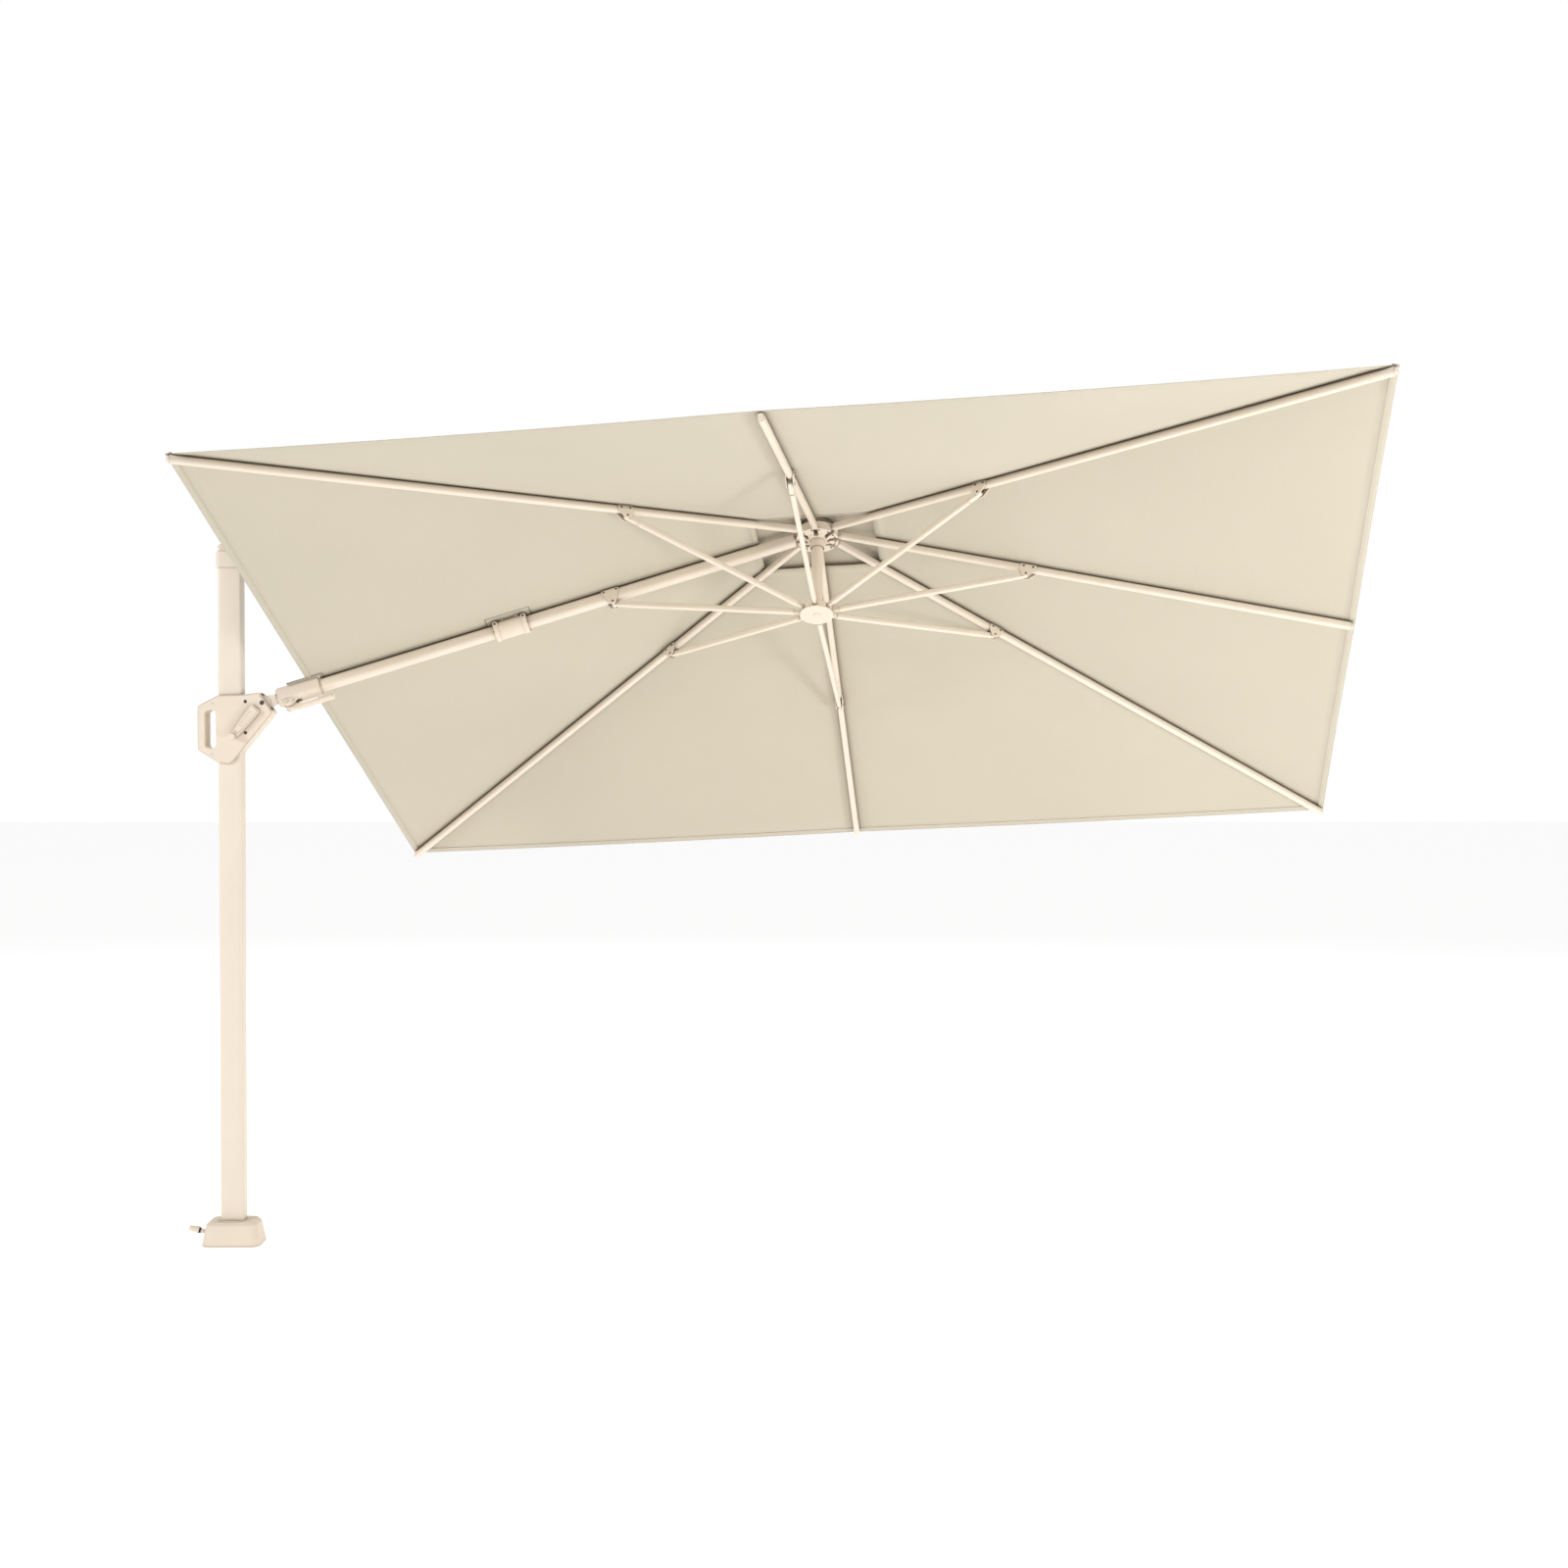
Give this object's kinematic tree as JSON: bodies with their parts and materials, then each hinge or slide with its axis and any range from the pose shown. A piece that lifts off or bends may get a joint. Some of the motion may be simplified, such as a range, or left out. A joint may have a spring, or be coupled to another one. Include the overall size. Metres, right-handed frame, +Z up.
{
  "type": "cantilever_parasol",
  "caption": "Cantilever parasol with a rectangular tilting canopy on a crank-raised arm that slides on a turning mast",
  "frame": {"origin": "On the mast's axis, at the underside of the base plate, which is the floor", "axes": "+X from the mast along the arm in plan, +Z up. -Y is the side that the crank and the pedal's offset are on, and the side of the canopy that the rest pose tilts up"},
  "size_m": [4.0636, 2.7443, 2.7395],
  "materials": {
    "frame_coat": "cream powder coat, satin",
    "moulded_casing": "cream moulded casing, satin",
    "canopy_cloth": "sand woven polyester",
    "plain_steel": "zinc plated steel",
    "dark_screws": "dark coated screws",
    "roller_rubber": "hard rubber tyre"
  },
  "bodies": {
    "foot": {"base_plate": "plain_steel", "foot_cover": "moulded_casing"},
    "pedal": {"pedal": "moulded_casing"},
    "mast": {"turntable": "moulded_casing", "mast_tube": "frame_coat", "mast_cap": "moulded_casing", "mast_bracket": "frame_coat"},
    "carriage": {"carriage_near_shell": "moulded_casing", "carriage_far_shell": "moulded_casing", "carriage_bolts": "dark_screws"},
    "roller_back_top": {"guide_roller_back_top": "roller_rubber"},
    "roller_back_low": {"guide_roller_back_low": "roller_rubber"},
    "roller_front_top": {"guide_roller_front_top": "roller_rubber"},
    "roller_front_low": {"guide_roller_front_low": "roller_rubber"},
    "crank": {"winch_drum": "plain_steel", "crank_arm": "moulded_casing"},
    "crank_knob": {"crank_knob": "moulded_casing"},
    "neck": {"arm_neck": "frame_coat", "saddle": "moulded_casing", "saddle_screws": "dark_screws"},
    "arm": {"tilt_socket": "moulded_casing", "lever_plate": "frame_coat", "arm_tube": "frame_coat", "arm_end": "frame_coat", "arm_clevis": "frame_coat"},
    "tilt_lever": {"tilt_lever": "moulded_casing"},
    "stay": {"stay_tube": "frame_coat", "stay_forks": "frame_coat"},
    "hub": {"hub": "moulded_casing", "hub_pins": "plain_steel", "hub_collar": "moulded_casing", "canopy": "canopy_cloth", "vent": "canopy_cloth"},
    "rib_inner_near": {"rib_inner_near": "frame_coat", "clevis_inner_near": "frame_coat"},
    "rib_near": {"rib_near": "frame_coat", "clevis_near": "frame_coat"},
    "rib_outer_near": {"rib_outer_near": "frame_coat", "clevis_outer_near": "frame_coat"},
    "rib_outer": {"rib_outer": "frame_coat", "clevis_outer": "frame_coat"},
    "rib_outer_far": {"rib_outer_far": "frame_coat", "clevis_outer_far": "frame_coat"},
    "rib_far": {"rib_far": "frame_coat", "clevis_far": "frame_coat"},
    "rib_inner_far": {"rib_inner_far": "frame_coat", "clevis_inner_far": "frame_coat"},
    "brace_inner_near": {"brace_inner_near": "frame_coat"},
    "brace_near": {"brace_near": "frame_coat"},
    "brace_outer_near": {"brace_outer_near": "frame_coat"},
    "brace_outer": {"brace_outer": "frame_coat"},
    "brace_outer_far": {"brace_outer_far": "frame_coat"},
    "brace_far": {"brace_far": "frame_coat"},
    "brace_inner_far": {"brace_inner_far": "frame_coat"},
    "brace_arm": {"brace_arm": "frame_coat"},
    "runner": {"runner": "moulded_casing", "runner_post": "frame_coat", "runner_button": "moulded_casing"}
  },
  "joints": [
    {"name": "pedal_press", "type": "hinge", "parent": "foot", "child": "pedal", "pos_m": [-0.085, -0.02, 0.042], "axis": [0, 1, 0], "range_deg": [-8, 0], "stiffness_Nm_per_rad": 2},
    {"name": "mast_turn", "type": "hinge", "parent": "foot", "child": "mast", "pos_m": [0, 0, 0], "axis": [0, 0, 1], "continuous": true},
    {"name": "carriage_slide", "type": "slide", "parent": "mast", "child": "carriage", "axis": [0, 0, 1], "range_m": [-0.26, 0.05]},
    {"name": "roller_back_top_spin", "type": "hinge", "parent": "carriage", "child": "roller_back_top", "pos_m": [-0.055, 0, 1.85], "axis": [0, 1, 0], "range_deg": [-1025.34, 1025.34]},
    {"name": "roller_back_low_spin", "type": "hinge", "parent": "carriage", "child": "roller_back_low", "pos_m": [-0.055, 0, 1.677], "axis": [0, 1, 0], "range_deg": [-1025.34, 1025.34]},
    {"name": "roller_front_top_spin", "type": "hinge", "parent": "carriage", "child": "roller_front_top", "pos_m": [0.0552, 0, 1.855], "axis": [0, 1, 0], "range_deg": [-1025.34, 1025.34]},
    {"name": "roller_front_low_spin", "type": "hinge", "parent": "carriage", "child": "roller_front_low", "pos_m": [0.0552, 0, 1.749], "axis": [0, 1, 0], "range_deg": [-1025.34, 1025.34]},
    {"name": "crank_turn", "type": "hinge", "parent": "carriage", "child": "crank", "pos_m": [0.08, 0, 1.819], "axis": [0, 1, 0], "continuous": true},
    {"name": "knob_spin", "type": "hinge", "parent": "crank", "child": "crank_knob", "pos_m": [0.01503, -0.045, 1.73779], "axis": [0, 1, 0], "continuous": true},
    {"name": "arm_pitch", "type": "hinge", "parent": "carriage", "child": "neck", "pos_m": [0.111, 0, 1.851], "axis": [0, 1, 0], "range_deg": [-7.53, 1.45]},
    {"name": "stay_swing", "type": "hinge", "parent": "mast", "child": "stay", "pos_m": [0.066, 0, 2.345], "axis": [0, 1, 0], "range_deg": [-2.04, 10.59]},
    {"name": "side_tilt", "type": "hinge", "parent": "neck", "child": "arm", "pos_m": [0.111, 0, 1.851], "axis": [0.9558, 0, 0.294], "range_deg": [0, 61.6]},
    {"name": "tilt_lock", "type": "hinge", "parent": "arm", "child": "tilt_lever", "pos_m": [0.20063, -0.01895, 1.84532], "axis": [0.1506, 0.859, -0.4894], "range_deg": [0, 35]},
    {"name": "canopy_fold", "type": "hinge", "parent": "arm", "child": "hub", "pos_m": [1.94984, 0.0041, 2.42389], "axis": [0.1506, 0.859, -0.4894], "range_deg": [0, 20.71], "deforming": ["canopy", "vent"]},
    {"name": "rib_inner_near_fold", "type": "hinge", "parent": "hub", "child": "rib_inner_near", "pos_m": [1.95471, -0.02284, 2.44219], "axis": [0.4685, -0.775, 0.4242], "range_deg": [0, 23.37]},
    {"name": "rib_near_fold", "type": "hinge", "parent": "hub", "child": "rib_near", "pos_m": [1.99339, -0.04878, 2.4472], "axis": [0.9883, -0.1433, 0.0526], "range_deg": [0, 18.58]},
    {"name": "rib_outer_near_fold", "type": "hinge", "parent": "hub", "child": "rib_outer_near", "pos_m": [2.03814, -0.03493, 2.44663], "axis": [0.7102, 0.6041, -0.3615], "range_deg": [0, 23.37]},
    {"name": "rib_outer_fold", "type": "hinge", "parent": "hub", "child": "rib_outer", "pos_m": [2.05231, -0.01076, 2.42934], "axis": [0.1506, 0.859, -0.4894], "range_deg": [0, 21.6]},
    {"name": "rib_outer_far_fold", "type": "hinge", "parent": "hub", "child": "rib_outer_far", "pos_m": [2.04758, 0.01894, 2.41594], "axis": [-0.4685, 0.775, -0.4242], "range_deg": [0, 23.37]},
    {"name": "rib_far_fold", "type": "hinge", "parent": "hub", "child": "rib_far", "pos_m": [2.00853, 0.03758, 2.398], "axis": [-0.9883, 0.1433, -0.0526], "range_deg": [0, 18.58]},
    {"name": "rib_inner_far_fold", "type": "hinge", "parent": "hub", "child": "rib_inner_far", "pos_m": [1.96415, 0.03103, 2.41149], "axis": [-0.7102, -0.6041, 0.3615], "range_deg": [0, 23.37]},
    {"name": "brace_inner_near_swing", "type": "hinge", "parent": "rib_inner_near", "child": "brace_inner_near", "pos_m": [1.36551, -0.37507, 2.44939], "axis": [-0.4685, 0.775, -0.4242], "range_deg": [0, 49.82]},
    {"name": "brace_near_swing", "type": "hinge", "parent": "rib_near", "child": "brace_near", "pos_m": [1.89182, -0.72423, 2.51595], "axis": [-0.9883, 0.1433, -0.0526], "range_deg": [0, 52.52]},
    {"name": "brace_outer_near_swing", "type": "hinge", "parent": "rib_outer_near", "child": "brace_outer_near", "pos_m": [2.49939, -0.53944, 2.50973], "axis": [-0.7102, -0.6041, 0.3615], "range_deg": [0, 49.82]},
    {"name": "brace_outer_swing", "type": "hinge", "parent": "rib_outer", "child": "brace_outer", "pos_m": [2.6906, -0.21069, 2.2748], "axis": [-0.1506, -0.859, 0.4894], "range_deg": [0, 50.35]},
    {"name": "brace_outer_far_swing", "type": "hinge", "parent": "rib_outer_far", "child": "brace_outer_far", "pos_m": [2.62771, 0.19264, 2.09261], "axis": [0.4685, -0.775, 0.4242], "range_deg": [0, 49.82]},
    {"name": "brace_far_swing", "type": "hinge", "parent": "rib_far", "child": "brace_far", "pos_m": [2.0964, 0.44291, 1.85095], "axis": [0.9883, -0.1433, 0.0526], "range_deg": [0, 52.52]},
    {"name": "brace_inner_far_swing", "type": "hinge", "parent": "rib_inner_far", "child": "brace_inner_far", "pos_m": [1.49384, 0.35701, 2.03227], "axis": [0.7102, 0.6041, -0.3615], "range_deg": [0, 49.82]},
    {"name": "brace_arm_swing", "type": "hinge", "parent": "arm", "child": "brace_arm", "pos_m": [1.30427, -0.01639, 2.18934], "axis": [0.1506, 0.859, -0.4894], "range_deg": [0, 50.61]},
    {"name": "runner_level", "type": "hinge", "parent": "brace_outer_near", "child": "runner", "pos_m": [2.025, -0.1839, 2.1719], "axis": [0.7102, 0.6041, -0.3615], "range_deg": [0, 26.45]}
  ],
  "couplings": [
    {"joint": "roller_back_top_spin", "follows": "carriage_slide", "rad_per_m": 68.493},
    {"joint": "roller_back_low_spin", "follows": "carriage_slide", "rad_per_m": 68.493},
    {"joint": "roller_front_top_spin", "follows": "carriage_slide", "rad_per_m": -68.493},
    {"joint": "roller_front_low_spin", "follows": "carriage_slide", "rad_per_m": -68.493},
    {"joint": "arm_pitch", "follows": "carriage_slide", "rad_per_m": 0.49541},
    {"joint": "stay_swing", "follows": "carriage_slide", "rad_per_m": -0.69685},
    {"joint": "rib_inner_near_fold", "follows": "canopy_fold", "ratio": 1.1172},
    {"joint": "rib_near_fold", "follows": "canopy_fold", "ratio": 0.8884},
    {"joint": "rib_outer_near_fold", "follows": "canopy_fold", "ratio": 1.1172},
    {"joint": "rib_outer_fold", "follows": "canopy_fold", "ratio": 1.0323},
    {"joint": "rib_outer_far_fold", "follows": "canopy_fold", "ratio": 1.1172},
    {"joint": "rib_far_fold", "follows": "canopy_fold", "ratio": 0.8884},
    {"joint": "rib_inner_far_fold", "follows": "canopy_fold", "ratio": 1.1172},
    {"joint": "brace_inner_near_swing", "follows": "canopy_fold", "ratio": 2.3818},
    {"joint": "brace_near_swing", "follows": "canopy_fold", "ratio": 2.5108},
    {"joint": "brace_outer_near_swing", "follows": "canopy_fold", "ratio": 2.3818},
    {"joint": "brace_outer_swing", "follows": "canopy_fold", "ratio": 2.4067},
    {"joint": "brace_outer_far_swing", "follows": "canopy_fold", "ratio": 2.3818},
    {"joint": "brace_far_swing", "follows": "canopy_fold", "ratio": 2.5108},
    {"joint": "brace_inner_far_swing", "follows": "canopy_fold", "ratio": 2.3818},
    {"joint": "brace_arm_swing", "follows": "canopy_fold", "ratio": 2.4194},
    {"joint": "runner_level", "follows": "canopy_fold", "ratio": 1.2646}
  ]
}
